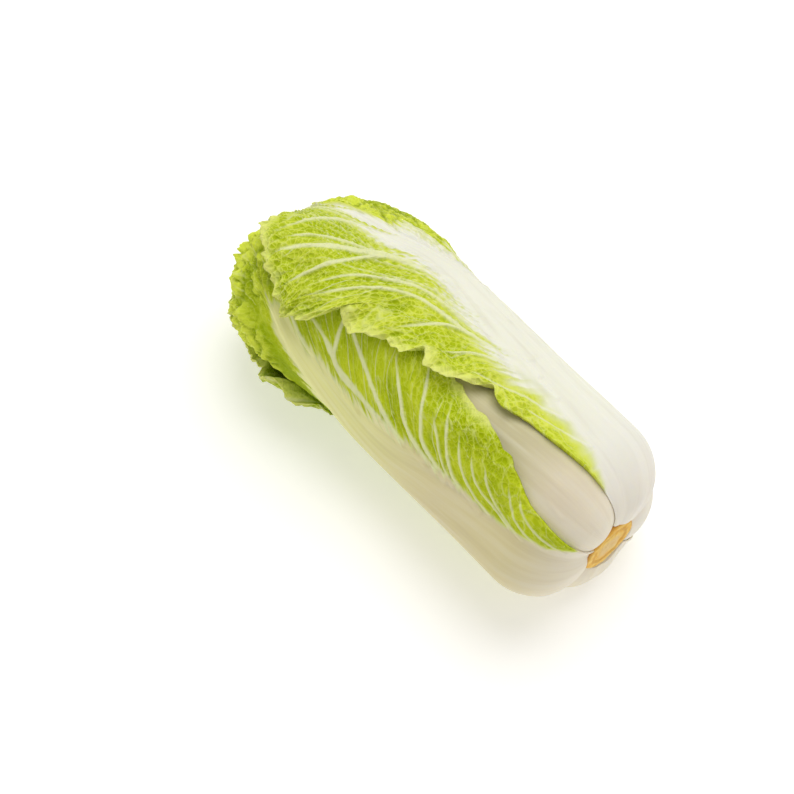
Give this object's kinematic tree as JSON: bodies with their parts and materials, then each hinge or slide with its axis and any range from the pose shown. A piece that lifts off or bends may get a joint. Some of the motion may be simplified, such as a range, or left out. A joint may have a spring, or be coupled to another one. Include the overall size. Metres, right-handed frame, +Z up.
{
  "type": "napa cabbage",
  "caption": "Whole long head of napa cabbage lying on its side, with overlapping ribbed and frilled leaves and a cut stem.",
  "frame": {"origin": "centre of the object's box at the surface it lies on", "axes": "+X along the head towards the cut stem, +Z up, +Y to the side away from the leaf named front"},
  "size_m": [0.3129, 0.1473, 0.1414],
  "materials": {
    "stem": "cut plant stem, dried tan face",
    "heart": "packed pale inner leaves",
    "leaf": "waxy leaf: white rib, yellow-green veined blade"
  },
  "bodies": {
    "root": {"cut_stem": "stem", "heart": "heart", "leaf_1_top": "leaf", "leaf_2_rear": "leaf", "leaf_3_front": "leaf", "leaf_4_back": "leaf", "leaf_5_under": "leaf"}
  },
  "joints": []
}
